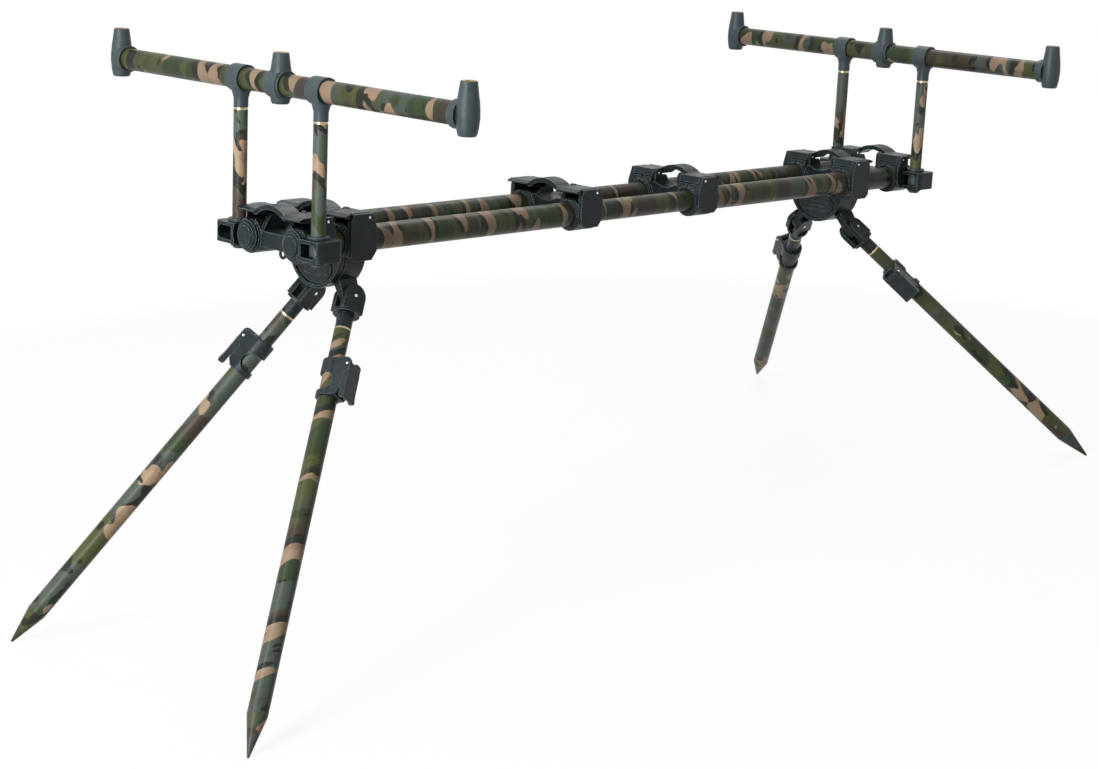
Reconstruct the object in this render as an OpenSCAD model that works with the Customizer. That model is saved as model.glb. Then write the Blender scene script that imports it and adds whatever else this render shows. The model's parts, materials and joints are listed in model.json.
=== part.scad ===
// Rod pod: two telescopic main tubes, six twin cam clamps, four folding telescopic legs
// and two rest bars that lift out of the end clamps. Sizes in millimetres.
// X runs from the front bar to the rear bar, Z is up, the four spikes stand on Z = 0.

/* [Main tubes] */
// Outside diameter of the outer main tubes
tube_d = 24; // [23:0.5:27]
// Wall of every tube
tube_wall = 1.2; // [1:0.1:1.4]
// Distance between the two tube lines
tube_pitch = 65; // [63:1:75]
// Length of the frame over the end caps
frame_l = 904; // [880:2:1000]
// Open length between the two frame clamps
frame_gap = 144; // [120:2:200]
// Length of the inner tubes
inner_l = 600; // [560:10:620]

/* [Clamps] */
// Length of a leg clamp and of a frame clamp along the tubes
clamp_l = 32; // [30:0.5:36]
// Wall of a clamp ring around its tube
ring_wall = 4.5; // [4:0.1:5.5]
// Open tube between the front rest clamp and the front leg clamp
front_leg_gap = 16; // [12:1:60]
// Open tube between the rear rest clamp and the rear leg clamp
rear_leg_gap = 51; // [12:1:80]
// Height of the arched handle above its arms
arch_rise = 6; // [5:0.5:8]
// Diameter of the steel lever pins
lever_pin_d = 2.4; // [2.2:0.1:3]

/* [Legs] */
// Height of the leg hinges below the tube axes
hinge_drop = 55; // [54:0.5:62]
// Sideways place of the front leg hinges
front_hinge_y = 28.2; // [27:0.2:31]
// Sideways place of the rear leg hinges
rear_hinge_y = 37.9; // [36:0.2:39]
// Sideways lean of the front legs in degrees
front_splay = 24; // [20:1:28]
// Sideways lean of the rear legs in degrees
rear_splay = 40; // [36:1:44]
// Lengthwise lean of all four legs in degrees
leg_rake = 31.5; // [26:0.5:36]
// Front leg from hinge to spike tip
front_leg_l = 432; // [420:1:520]
// Rear leg from hinge to spike tip
rear_leg_l = 379; // [360:1:470]
// Front leg from hinge to the top of its collar
front_collar_s = 65; // [60:1:120]
// Rear leg from hinge to the top of its collar
rear_collar_s = 59; // [56:1:110]
// Outside diameter of the lower leg tubes
leg_d = 18; // [17:0.5:20]
// Length of a spike cone
spike_l = 36; // [30:1:45]
// Turn of the front left collar around its leg
front_left_turn = 113; // [0:1:359]
// Turn of the front right collar around its leg
front_right_turn = 50; // [0:1:359]
// Turn of the rear left collar around its leg
rear_left_turn = 164; // [0:1:359]
// Turn of the rear right collar around its leg
rear_right_turn = 83; // [0:1:359]

/* [Rest bars] */
// Distance between the end posts of the front bar
front_bar_span = 480; // [420:2:560]
// Distance between the end posts of the rear bar
rear_bar_span = 444; // [400:2:520]
// Diameter of the bar tubes
bar_d = 20; // [18:0.5:22]
// Height of the bars above the tube axes
bar_h = 138; // [120:1:180]
// Diameter of the uprights
upright_d = 12.7; // [12:0.1:13.5]
// Distance between the two uprights of a bar
upright_pitch = 112; // [112:0.5:118]
// Core diameter of the rest threads
thread_core_d = 8.4; // [8:0.1:8.6]
// Depth of the rest threads
thread_l = 17; // [14:0.5:20]

/* [Fits] */
// Gap between pieces that slide or swing past each other
gap = 0.3; // [0.3:0.05:0.4]
// Radial gap of a pin in the piece that turns on it
pin_gap = 0.05; // [0.03:0.01:0.08]

/* [Hidden] */
$fn = 48;
FRONT = 0;
REAR = 1;
LEFT = 0;
RIGHT = 1;
hinge_y = [front_hinge_y, rear_hinge_y];
splay = [front_splay, rear_splay];
leg_l = [front_leg_l, rear_leg_l];
collar_s = [front_collar_s, rear_collar_s];
bar_span = [front_bar_span, rear_bar_span];
collar_turn = [[front_left_turn, front_right_turn], [rear_left_turn, rear_right_turn]];
// Main tubes
tube_r = tube_d / 2;
tube_y = tube_pitch / 2;
inner_d = tube_d - 2 * tube_wall - 2 * gap;
cap_t = 5;
cap_r = tube_r + 2;
tube_end = frame_l / 2 - cap_t;
plug_l = 14;
frame_clamp_x = frame_gap / 2;
tube_start = frame_clamp_x + 8;
// Clamp sections, measured from a tube axis
ring_r = tube_r + ring_wall;
seat_z = tube_r + 2.6;
lobe_r = 7;
pin_z = seat_z + gap + lobe_r;
pin_in = 9;
arm_z = pin_z - 1.5;
arm_top = pin_z + 4;
arm_in = -13;
arm_out = 12.5;
ear_t = 4.2;
ear_top = arm_z - 0.8;
panel_in = arm_out + gap;
panel_out = ring_r + 1;
panel_l = clamp_l - 2;
rest_panel_l = 25;
panel_top = arm_top - 0.5;
panel_in_top = 5;
panel_slant = 14;
leg_panel_low = -ring_r - 0.5;
frame_panel_low = -12;
wall_top = pin_z - 4.3;
saddle_z = 9.5;
web_low = -11;
rest_saddle_z = 6;
rest_web_low = -8.5;
arch_w = tube_y + arm_in;
arch_r = (arch_rise * arch_rise + arch_w * arch_w) / (2 * arch_rise);
arch_t = 4.6;
lip_l = 1.4;
rest_l = 33;
rest_x = tube_end - rest_l;
leg_clamp_x = [rest_x - front_leg_gap - clamp_l, rest_x - rear_leg_gap - clamp_l];
// Leg hinges and legs
front_hinge_shift = -4.2;
rear_hinge_shift = 6.8;
hinge_x = [
    leg_clamp_x[FRONT] + clamp_l / 2 + front_hinge_shift,
    leg_clamp_x[REAR] + clamp_l / 2 + rear_hinge_shift
];
hinge_pin_d = 3;
tongue_t = 8;
tongue_r = 9;
cheek_t = 5.4;
cheek_r = 11;
flange_s = 14.5;
flange_t = 3;
flange_r = 12.4;
socket_s = 32;
upper_d = leg_d - 2 * tube_wall - 2 * gap;
spigot_l = 22;
collar_l = 37;
collar_r = leg_d / 2 + 2.2;
collar_seat = 8;
lever_out = 10;
lever_x = leg_d / 2 + lever_out;
lever_z = 6.8;
leg_lobe_r = 3.2;
blade_t = 5.6;
blade_in = leg_lobe_r - blade_t;
cheek_out = 9.5;
cheek_in = 6.3;
tip_r = 1.2;
spike_plug = 16;
leg_push = 28;
block_r = 36;
block_z = -12;
block_top = -ring_r;
face_corner = 9;
// Rest bars
bar_x = tube_end - 8;
foot_r = 8;
foot_flange_r = 10;
boss_r = 5.8;
bracket_l = 29;
bracket_t = 3.2;
bracket_r = 5;
bracket_top = 9;
bracket_low = -10;
upright_y = upright_pitch / 2;
bracket_out = upright_y + foot_r + 9;
boss_low = bracket_low - 3.5;
tee_r = bar_d / 2 + 2.4;
stem_low = 26;
post_top = bar_d / 2 + thread_l + 1;
bar_seat = 8.4;
post_low = 17;
insert_d = thread_core_d + 3.2;
// Slanted inboard edge of a panel at a height
function panel_edge_x(z) = panel_in_top * (z - panel_top + panel_slant) / panel_slant;
// Stance: the slope that brings all four spike tips down to one level
function tip_x(e) = hinge_x[e] + leg_l[e] * sin(leg_rake);
function tip_z(e) = -hinge_drop - leg_l[e] * cos(leg_rake) * cos(splay[e]);
slope = atan2(tip_z(REAR) - tip_z(FRONT), tip_x(REAR) + tip_x(FRONT));
front_level_x = -tip_x(FRONT) * cos(slope) + tip_z(FRONT) * sin(slope);
rear_level_x = tip_x(REAR) * cos(slope) + tip_z(REAR) * sin(slope);
shift_x = -(front_level_x + rear_level_x) / 2;
lift_z = tip_r - tip_x(FRONT) * sin(slope) - tip_z(FRONT) * cos(slope);

module camo() {
    color([0.30, 0.33, 0.22]) children();
}

module moulded() {
    color([0.17, 0.19, 0.20]) children();
}

module steel() {
    color([0.75, 0.76, 0.78]) children();
}

module brass() {
    color([0.72, 0.57, 0.28]) children();
}

// Frame of the standing pod
module stand() {
    translate([shift_x, 0, lift_z]) rotate([0, slope, 0]) children();
}

// One end of the pod, with X pointing outboard
module pod_end(e) {
    stand() mirror([e == FRONT ? 1 : 0, 0, 0]) children();
}

// Both tube lines of an end
module both_lines() {
    for (s = [0, 1]) mirror([0, s, 0]) translate([0, tube_y, 0]) children();
}

// Cylinder along X
module rod_x(r, x0, x1) {
    translate([x0, 0, 0]) rotate([0, 90, 0]) cylinder(r = r, h = x1 - x0);
}

// Cylinder along Y
module rod_y(r, y0, y1) {
    translate([0, y1, 0]) rotate([90, 0, 0]) cylinder(r = r, h = y1 - y0);
}

// Flat outline drawn in X and Z, thickened along Y
module slab_xz(y0, y1) {
    translate([0, y1, 0]) rotate([90, 0, 0]) linear_extrude(y1 - y0) children();
}

// Flat outline drawn in Y and Z, thickened along X
module slab_yz(x0, x1) {
    translate([x0, 0, 0]) rotate([90, 0, 90]) linear_extrude(x1 - x0) children();
}

module main_tube(e, side) {
    camo() pod_end(e) mirror([0, side == LEFT ? 1 : 0, 0]) translate([0, tube_y, 0])
        difference() {
            rod_x(tube_r, tube_start, tube_end);
            rod_x(tube_r - tube_wall, tube_start - 1, tube_end + 1);
        }
}

module tube_caps(e) {
    moulded() pod_end(e) both_lines() {
        rod_x(tube_r - tube_wall, tube_end - plug_l, tube_end);
        rod_x(cap_r, tube_end, tube_end + cap_t - 3);
        rod_x(tube_r - 0.4, tube_end, tube_end + cap_t - 1.4);
        rod_x(tube_r - 2.8, tube_end, tube_end + cap_t);
    }
}

// Panel of a clamp with cut corners, X from the inboard end
module panel_outline(low, len) {
    polygon([
        [0, low + 8], [0, panel_top - panel_slant], [panel_in_top, panel_top],
        [len - 3, panel_top], [len, panel_top - 6], [len, low + 4],
        [len - 5, low], [6, low]
    ]);
}

// Low wall inboard of a cam, its face in line with the slanted edge of the panel
module wall_outline() {
    difference() {
        polygon([
            [panel_edge_x(tube_r), tube_r], [panel_edge_x(wall_top), wall_top],
            [pin_in, wall_top], [pin_in, tube_r]
        ]);
        translate([pin_in, pin_z]) circle(r = lobe_r + gap);
    }
}

// Saddle between the two rings of a clamp
module web_outline(low, top) {
    saddle_r = tube_y - 7;
    difference() {
        translate([-tube_y, low]) square([tube_pitch, top - low + 4]);
        translate([0, top + saddle_r]) circle(r = saddle_r);
    }
}

// Ring blank with a lip and a step at each end
module ring_blank(len) {
    rod_x(ring_r - 2.6, -lip_l, len + lip_l);
    rod_x(ring_r - 1.1, 0, len);
    rod_x(ring_r, 1.8, len - 1.8);
}

// Twin cam clamp body, inboard end at X = 0, with its saddle as the child; the caller cuts the bores
module clamp_blank(len, low, panel) {
    difference() {
        union() {
            both_lines() {
                ring_blank(len);
                slab_xz(panel_in, panel_out) panel_outline(low, panel);
                slab_xz(arm_in - gap, panel_in) wall_outline();
                slab_xz(arm_in - gap - ear_t, arm_in - gap) {
                    translate([pin_in, pin_z]) circle(r = 5);
                    polygon([
                        [pin_in - 5, 2], [pin_in - 5, pin_z], [pin_in + 5, pin_z],
                        [pin_in + 5, ear_top], [len - 11, ear_top], [len - 3, 6], [len - 3, 2]
                    ]);
                }
            }
            slab_yz(2.5, len - 2.5) children();
        }
        both_lines() {
            slab_xz(arm_in - gap, panel_in) difference() {
                translate([-1, seat_z]) square([len + 2, 30]);
                wall_outline();
            }
            translate([-2 * lip_l, -0.8, 0]) cube([len + 4 * lip_l, 1.6, 30]);
            translate([pin_in, 0, pin_z]) rod_y(lever_pin_d / 2, -30, 30);
        }
    }
}

module clamp_bores(len) {
    both_lines() rod_x(tube_r, -2 * lip_l, len + 2 * lip_l);
}

// Lever arm seen from the side, pin at the origin; its cam end is cut to the slant of the panel
module arm_outline(len) {
    intersection() {
        circle(r = lobe_r);
        polygon([
            [-3.9, 4], [-6.4, -3], [-lobe_r, -lobe_r], [lobe_r, -lobe_r], [lobe_r, 4]
        ]);
    }
    polygon([
        [0, -1.5], [len - 19, -1.5], [len - 5, 0.5], [len - 4, 2.2], [len - 10, 4], [0, 4]
    ]);
}

// Bridge lever of a twin clamp: a cam arm over each tube and an arched handle between them
module clamp_lever(len, x0, lip_out) {
    arch_z = arm_top + arch_rise - arch_r;
    translate([x0, 0, 0]) difference() {
        union() {
            both_lines() translate([pin_in, 0, pin_z]) {
                slab_xz(arm_in, arm_out) arm_outline(len);
                slab_xz(arm_in, lip_out) intersection() {
                    arm_outline(len);
                    translate([panel_l - pin_in + 0.5, -10]) square([60, 20]);
                }
            }
            slab_yz(pin_in + 7, len + 2) intersection() {
                translate([0, arch_z]) difference() {
                    circle(r = arch_r, $fn = 96);
                    circle(r = arch_r - arch_t, $fn = 96);
                }
                translate([-arch_w - 3, arm_z + 0.2]) square([2 * arch_w + 6, 30]);
            }
        }
        both_lines() translate([pin_in, 0, pin_z]) rod_y(lever_pin_d / 2 + pin_gap, -30, 30);
        for (i = [0:2]) translate([len - 6 + 2.6 * i, -9, arm_top + arch_rise - 0.5])
            cube([1.1, 18, 2]);
    }
}

module rest_clamp(e) {
    moulded() pod_end(e) difference() {
        union() {
            translate([rest_x, 0, 0]) clamp_blank(rest_l, bracket_low, rest_panel_l)
                translate([-tube_y, rest_web_low]) square([tube_pitch, rest_saddle_z - rest_web_low]);
            for (s = [0, 1]) mirror([0, s, 0]) rest_bracket();
            if (e == FRONT) cord_loop();
        }
        translate([rest_x, 0, 0]) clamp_bores(rest_l);
        both_lines() rod_x(cap_r + gap, tube_end, tube_end + bracket_l);
        for (s = [0, 1]) mirror([0, s, 0]) translate([bar_x, upright_y, 0]) foot_room();
    }
}

// Bracket on the outer side of a rest clamp with a round-ended opening along X
module rest_bracket() {
    inner = tube_y + ring_r - 4;
    slot_r = (bracket_top - bracket_low) / 2 - bracket_t;
    slot_y = bracket_out - bracket_t - slot_r;
    difference() {
        translate([bar_x, 0, bracket_low]) linear_extrude(bracket_top - bracket_low) {
            translate([-bracket_l / 2, inner]) square([bracket_l, bracket_out - bracket_r - inner]);
            translate([bracket_r - bracket_l / 2, inner])
                square([bracket_l - 2 * bracket_r, bracket_out - inner]);
            for (m = [-1, 1]) translate([m * (bracket_l / 2 - bracket_r), bracket_out - bracket_r])
                circle(r = bracket_r);
        }
        slab_yz(bar_x - bracket_l, bar_x + bracket_l) {
            translate([slot_y, (bracket_top + bracket_low) / 2]) circle(r = slot_r);
            translate([tube_y + ring_r, bracket_low + bracket_t])
                square([slot_y - tube_y - ring_r, 2 * slot_r]);
        }
    }
    translate([bar_x, upright_y, boss_low])
        cylinder(r1 = foot_r - 0.6, r2 = foot_r + 1, h = bracket_low - boss_low);
    translate([bar_x, upright_y, bracket_low]) cylinder(r = foot_r + 1, h = bracket_t);
    translate([bar_x, upright_y, bracket_top - bracket_t])
        cylinder(r = foot_flange_r + 1, h = bracket_t);
}

// Space that an upright's foot takes in its bracket
module foot_room() {
    translate([0, 0, bracket_low - 20]) cylinder(r = boss_r + gap, h = 40);
    translate([0, 0, bracket_low + bracket_t]) cylinder(r = foot_r + gap, h = 40);
    translate([0, 0, bracket_top]) cylinder(r = foot_flange_r + gap + 0.2, h = 40);
}

// Eyelet for a cord under the front saddle
module cord_loop() {
    translate([rest_x + rest_l - 5, -11, rest_web_low - 2.6]) rotate([0, 90, 0])
        rotate_extrude() translate([3.6, 0]) circle(r = 1.3);
}

module rest_clamp_lever(e) {
    moulded() pod_end(e) clamp_lever(rest_l, rest_x, arm_out);
}

module leg_clamp(e) {
    moulded() pod_end(e) translate([leg_clamp_x[e], 0, 0]) difference() {
        clamp_blank(clamp_l, leg_panel_low, panel_l) web_outline(web_low, saddle_z);
        clamp_bores(clamp_l);
    }
}

module leg_clamp_lever(e) {
    moulded() pod_end(e) clamp_lever(clamp_l, leg_clamp_x[e], panel_out - 1.5);
}

module frame_clamp(e) {
    moulded() pod_end(e) translate([frame_clamp_x, 0, 0]) difference() {
        clamp_blank(clamp_l, frame_panel_low, panel_l) web_outline(web_low, saddle_z);
        both_lines() {
            rod_x(inner_d / 2 + gap, -2 * lip_l, clamp_l);
            rod_x(tube_r, tube_start - frame_clamp_x, clamp_l + 2 * lip_l);
        }
    }
}

module frame_clamp_lever(e) {
    moulded() pod_end(e) clamp_lever(clamp_l, frame_clamp_x, panel_out - 1.5);
}

// Face of a leg block: the lower part of a disc under a straight top with rounded corners
module face_outline(r, top) {
    corner_z = top - face_corner;
    corner_y = sqrt(pow(r - face_corner, 2) - pow(corner_z - block_z, 2));
    end_y = corner_y * r / (r - face_corner);
    end_z = block_z + (corner_z - block_z) * r / (r - face_corner);
    for (m = [-1, 1]) translate([m * corner_y, corner_z]) circle(r = face_corner);
    polygon([[-corner_y, top], [corner_y, top], [end_y, end_z], [-end_y, end_z]]);
    intersection() {
        translate([0, block_z]) circle(r = r);
        translate([-r, block_z - r]) square([2 * r, end_z - block_z + r]);
    }
}

// Housing under a leg clamp with a grooved face and one tongue for each leg
module leg_block(e) {
    face_r = block_r - 5;
    face_top = block_top - 3;
    moulded() pod_end(e) difference() {
        union() {
            translate([leg_clamp_x[e], 0, 0]) difference() {
                slab_yz(0.5, clamp_l - 0.5) intersection() {
                    translate([0, block_z]) circle(r = block_r);
                    translate([-block_r, block_z - block_r])
                        square([2 * block_r, block_top - block_z + block_r]);
                }
                for (x = [0, clamp_l - 2.4]) slab_yz(x, x + 2.4) difference() {
                    face_outline(face_r + 2, face_top + 1.5);
                    face_outline(face_r, face_top);
                }
                for (x = [0, clamp_l - 1.3]) slab_yz(x, x + 1.3) face_outline(face_r, face_top);
                for (z = [-25, -30, -35]) for (x = [0, clamp_l - 2.3])
                    translate([x, -17, z]) cube([2.3, 34, 0.9]);
                slab_yz(clamp_l - 8.5, clamp_l - 6.5) difference() {
                    translate([0, block_z]) circle(r = block_r + 2);
                    translate([0, block_z]) circle(r = block_r - 1);
                }
                both_lines() rod_x(ring_r, -1, clamp_l + 1);
            }
            for (s = [LEFT, RIGHT]) hinge_place(e, s) slab_xz(-tongue_t / 2, tongue_t / 2) {
                circle(r = tongue_r);
                polygon([[-tongue_r, 0], [tongue_r, 0], [11, 22], [11, 28], [-11, 28], [-11, 22]]);
            }
        }
        for (s = [LEFT, RIGHT]) hinge_place(e, s) rod_y(hinge_pin_d / 2, -20, 20);
    }
}

// Hinge of one leg: Y along the hinge pin, Z up along the lean of the leg
module hinge_place(e, side) {
    mirror([0, side == RIGHT ? 1 : 0, 0])
        translate([hinge_x[e], -hinge_y[e], -hinge_drop]) rotate([-splay[e], 0, 0]) children();
}

// Frame of one leg: hinge at the origin, Z down the leg, Y outward along the hinge pin
module leg_place(e, side) {
    pod_end(e) hinge_place(e, side) rotate([0, -leg_rake, 0]) rotate([180, 0, 0]) children();
}

// Frame of a leg collar: X toward its lever, Z down the leg from the collar top
module collar_place(e, side) {
    leg_place(e, side) translate([0, 0, collar_s[e]])
        rotate([0, 0, collar_turn[e][side]]) children();
}

module pins(e) {
    pin_out = panel_out + 0.3;
    steel() pod_end(e) {
        for (x = [rest_x, leg_clamp_x[e], frame_clamp_x]) both_lines()
            translate([x + pin_in, 0, pin_z])
                rod_y(lever_pin_d / 2, arm_in - gap - ear_t, pin_out);
        for (s = [LEFT, RIGHT]) hinge_place(e, s)
            rod_y(hinge_pin_d / 2, -tongue_t / 2 - gap - cheek_t - 0.3,
                tongue_t / 2 + gap + cheek_t + 0.3);
    }
}

module inner_tubes() {
    camo() stand() both_lines() difference() {
        rod_x(inner_d / 2, -inner_l / 2, inner_l / 2);
        rod_x(inner_d / 2 - tube_wall, -inner_l / 2 - 1, inner_l / 2 + 1);
    }
}

module inner_plugs() {
    moulded() stand() both_lines() for (m = [0, 1]) mirror([m, 0, 0]) difference() {
        union() {
            rod_x(inner_d / 2 - tube_wall, inner_l / 2 - plug_l, inner_l / 2);
            rod_x(inner_d / 2 + gap - pin_gap, inner_l / 2, inner_l / 2 + 4);
        }
        rod_x(inner_d / 2 - tube_wall - 2, inner_l / 2 - plug_l - 1, inner_l / 2 + 5);
    }
}

// Fork, flange and socket at the top of a leg
module leg_knuckle(e, side) {
    fork_in = tongue_t / 2 + gap;
    moulded() leg_place(e, side) difference() {
        union() {
            for (m = [0, 1]) mirror([0, m, 0]) slab_xz(fork_in, fork_in + cheek_t) {
                circle(r = cheek_r);
                translate([-cheek_r, 0]) square([2 * cheek_r, flange_s + 1]);
            }
            translate([0, 0, flange_s]) cylinder(r = flange_r, h = flange_t);
            translate([0, 0, flange_s]) cylinder(d = upper_d, h = socket_s - flange_s);
            translate([0, 0, socket_s])
                cylinder(r = upper_d / 2 - tube_wall, h = spigot_l);
            translate([upper_d / 2 - 0.4, -1.6, flange_s]) cube([1.2, 3.2, 12]);
        }
        rod_y(hinge_pin_d / 2 + pin_gap, -20, 20);
    }
}

module leg_upper_tube(e, side) {
    tube_l = leg_l[e] - socket_s - spike_l - spike_plug - leg_push;
    camo() leg_place(e, side) translate([0, 0, socket_s]) difference() {
        union() {
            cylinder(r1 = upper_d / 2 - 0.5, r2 = upper_d / 2, h = 0.8);
            translate([0, 0, 0.8]) cylinder(d = upper_d, h = tube_l - 0.8);
        }
        translate([0, 0, -1]) cylinder(r = upper_d / 2 - tube_wall, h = tube_l + 2);
    }
}

// Collar on the lower tube: cheeks for the lever, rails under it, back window and lower ring
module leg_collar(e, side) {
    window_r = 8.8;
    face_x = lever_x + leg_lobe_r - 0.2;
    rail_x = lever_x + blade_in - gap;
    moulded() collar_place(e, side) difference() {
        union() {
            translate([0, 0, 0.8]) cylinder(r = collar_r, h = collar_l - 0.8);
            cylinder(r = collar_r - 0.8, h = 1);
            slab_xz(-cheek_out, cheek_out) polygon([
                [0, 0.4], [lever_x - 1, 0.4], [lever_x + 1.2, 1.2], [face_x, 3.8],
                [face_x, lever_z + 4.6], [rail_x, lever_z + 9.4], [rail_x, collar_l - 6],
                [collar_r, collar_l - 0.6], [0, collar_l - 0.6]
            ]);
        }
        translate([0, 0, -1]) cylinder(r = upper_d / 2 + gap, h = collar_l + 2);
        translate([0, 0, collar_seat]) cylinder(r = leg_d / 2, h = collar_l);
        slab_xz(-20, 20) translate([-2.2, 23]) {
            circle(r = window_r);
            translate([-20, -window_r]) square([20, 2 * window_r]);
        }
        translate([collar_r + 0.4, -cheek_in, -1]) cube([20, 2 * cheek_in, collar_l + 2]);
        translate([lever_x, 0, lever_z]) rod_y(lever_pin_d / 2 + pin_gap, -20, 20);
    }
}

// Hollow paddle lever of a collar with its pin
module leg_lever(e, side) {
    neck = cheek_in - gap;
    moulded() collar_place(e, side) translate([lever_x, 0, lever_z]) difference() {
        union() {
            slab_xz(-neck, neck) {
                circle(r = leg_lobe_r);
                polygon([[-leg_lobe_r, 0], [leg_lobe_r, 0], [leg_lobe_r, 12], [blade_in, 12]]);
            }
            slab_xz(-cheek_out, cheek_out) polygon([
                [blade_in, 9.7], [leg_lobe_r, 4.95], [leg_lobe_r, 26], [leg_lobe_r + 0.8, 31.6],
                [leg_lobe_r, 33], [-0.8, 33], [blade_in, 31]
            ]);
        }
        slab_xz(-cheek_out + 2.2, cheek_out - 2.2)
            polygon([[-8, 13.5], [1, 13.5], [1.4, 36], [-8, 36]]);
        rod_y(lever_pin_d / 2 + pin_gap, -20, 20);
    }
    steel() collar_place(e, side) translate([lever_x, 0, lever_z])
        rod_y(lever_pin_d / 2, -cheek_out - 0.3, cheek_out + 0.3);
}

module leg_lower_tube(e, side) {
    tube_l = leg_l[e] - collar_s[e] - collar_seat - spike_l;
    camo() leg_place(e, side) translate([0, 0, collar_s[e] + collar_seat]) difference() {
        cylinder(d = leg_d, h = tube_l);
        translate([0, 0, -1]) cylinder(r = leg_d / 2 - tube_wall, h = tube_l + 2);
    }
}

// Spike with a plug in the tube and a small round tip
module leg_spike(e, side) {
    camo() leg_place(e, side) translate([0, 0, leg_l[e] - spike_l]) {
        translate([0, 0, -spike_plug]) cylinder(r = leg_d / 2 - tube_wall, h = spike_plug);
        cylinder(r1 = leg_d / 2, r2 = tip_r * 0.96, h = spike_l);
        translate([0, 0, spike_l]) sphere(r = tip_r);
    }
}

// Frame of a rest bar: middle of the bar at the origin
module bar_place(e) {
    pod_end(e) translate([bar_x, 0, bar_h]) children();
}

module bar(e) {
    end_y = bar_span[e] / 2 - bar_seat;
    camo() bar_place(e) difference() {
        rod_y(bar_d / 2, -end_y, end_y);
        rod_y(bar_d / 2 - tube_wall, -end_y - 1, end_y + 1);
    }
}

// Half outline of a bottle-shaped post
module post_outline() {
    polygon([
        [0, -post_low], [7.2, -post_low], [8.2, -post_low + 1.4], [9.4, -10], [10.2, -2],
        [10.1, 4], [9.5, 11], [8.2, 20], [7.3, post_top - 1.2], [6.5, post_top], [0, post_top]
    ]);
}

module bar_posts(e) {
    end_y = bar_span[e] / 2;
    moulded() bar_place(e) {
        for (m = [0, 1]) mirror([0, m, 0]) difference() {
            union() {
                translate([0, end_y, 0]) rotate_extrude() post_outline();
                translate([0, end_y, 0]) rod_y(tee_r, -13, -5);
            }
            rod_y(bar_d / 2, 0, end_y - bar_seat);
            translate([0, end_y, post_top - thread_l]) cylinder(d = insert_d, h = 60);
        }
        difference() {
            union() {
                rotate_extrude() post_outline();
                rod_y(tee_r, -10, 10);
                rod_y(tee_r + 0.9, -7, 7);
            }
            rod_y(bar_d / 2, -20, 20);
            translate([0, 0, post_top - thread_l]) cylinder(d = insert_d, h = 60);
            translate([-12, -1.5, -post_low - 1]) cube([24, 3, 2.4]);
        }
    }
}

// Threaded sleeves for the rod rests
module bar_inserts(e) {
    brass() bar_place(e) for (y = [-bar_span[e] / 2, 0, bar_span[e] / 2])
        translate([0, y, post_top - thread_l]) difference() {
            cylinder(d = insert_d, h = thread_l);
            translate([0, 0, -1]) cylinder(d = thread_core_d, h = thread_l + 2);
        }
}

module bar_tees(e) {
    moulded() bar_place(e) for (m = [-1, 1]) translate([0, m * upright_y, 0]) difference() {
        union() {
            rod_y(tee_r, -8.5, 8.5);
            translate([0, 0, -stem_low]) cylinder(d = upright_d + 0.6, h = stem_low);
            translate([0, 0, -18]) cylinder(r1 = upright_d / 2 + 0.3, r2 = 10, h = 12);
        }
        rod_y(bar_d / 2, -20, 20);
    }
}

module bar_uprights(e) {
    top = -stem_low;
    low = -bar_h + bracket_top + pin_gap + 2.6;
    camo() bar_place(e) for (m = [-1, 1]) translate([0, m * upright_y, low]) {
        cylinder(d = upright_d, h = top - low - 3);
        translate([0, 0, top - low - 3]) cylinder(d = upright_d - 0.6, h = 3);
    }
}

// Stepped foot that stands in the bracket of a rest clamp
module bar_feet(e) {
    moulded() bar_place(e) for (m = [-1, 1]) translate([0, m * upright_y, -bar_h]) {
        translate([0, 0, bracket_top + pin_gap]) cylinder(r = foot_flange_r, h = 2.6);
        translate([0, 0, bracket_low + bracket_t + gap])
            cylinder(r = foot_r, h = bracket_top - bracket_low - bracket_t - gap + 1);
        translate([0, 0, boss_low - 1.5]) cylinder(r = boss_r, h = 12);
        translate([0, 0, boss_low - 2.3]) cylinder(r = boss_r - 0.8, h = 2);
    }
}

main_tube(FRONT, LEFT);  // front_left_tube
main_tube(FRONT, RIGHT);  // front_right_tube
tube_caps(FRONT);  // front_tube_caps
rest_clamp(FRONT);  // front_rest_clamp
rest_clamp_lever(FRONT);  // front_rest_clamp_lever
leg_clamp(FRONT);  // front_leg_clamp
leg_clamp_lever(FRONT);  // front_leg_clamp_lever
leg_block(FRONT);  // front_leg_block
frame_clamp(FRONT);  // front_frame_clamp
frame_clamp_lever(FRONT);  // front_frame_clamp_lever
pins(FRONT);  // front_pins
main_tube(REAR, LEFT);  // rear_left_tube
main_tube(REAR, RIGHT);  // rear_right_tube
tube_caps(REAR);  // rear_tube_caps
rest_clamp(REAR);  // rear_rest_clamp
rest_clamp_lever(REAR);  // rear_rest_clamp_lever
leg_clamp(REAR);  // rear_leg_clamp
leg_clamp_lever(REAR);  // rear_leg_clamp_lever
leg_block(REAR);  // rear_leg_block
frame_clamp(REAR);  // rear_frame_clamp
frame_clamp_lever(REAR);  // rear_frame_clamp_lever
pins(REAR);  // rear_pins
inner_tubes();
inner_plugs();
leg_knuckle(FRONT, LEFT);  // front_left_leg_knuckle
leg_upper_tube(FRONT, LEFT);  // front_left_leg_upper_tube
leg_collar(FRONT, LEFT);  // front_left_leg_collar
leg_lever(FRONT, LEFT);  // front_left_leg_lever
leg_lower_tube(FRONT, LEFT);  // front_left_leg_lower_tube
leg_spike(FRONT, LEFT);  // front_left_leg_spike
leg_knuckle(FRONT, RIGHT);  // front_right_leg_knuckle
leg_upper_tube(FRONT, RIGHT);  // front_right_leg_upper_tube
leg_collar(FRONT, RIGHT);  // front_right_leg_collar
leg_lever(FRONT, RIGHT);  // front_right_leg_lever
leg_lower_tube(FRONT, RIGHT);  // front_right_leg_lower_tube
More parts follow.
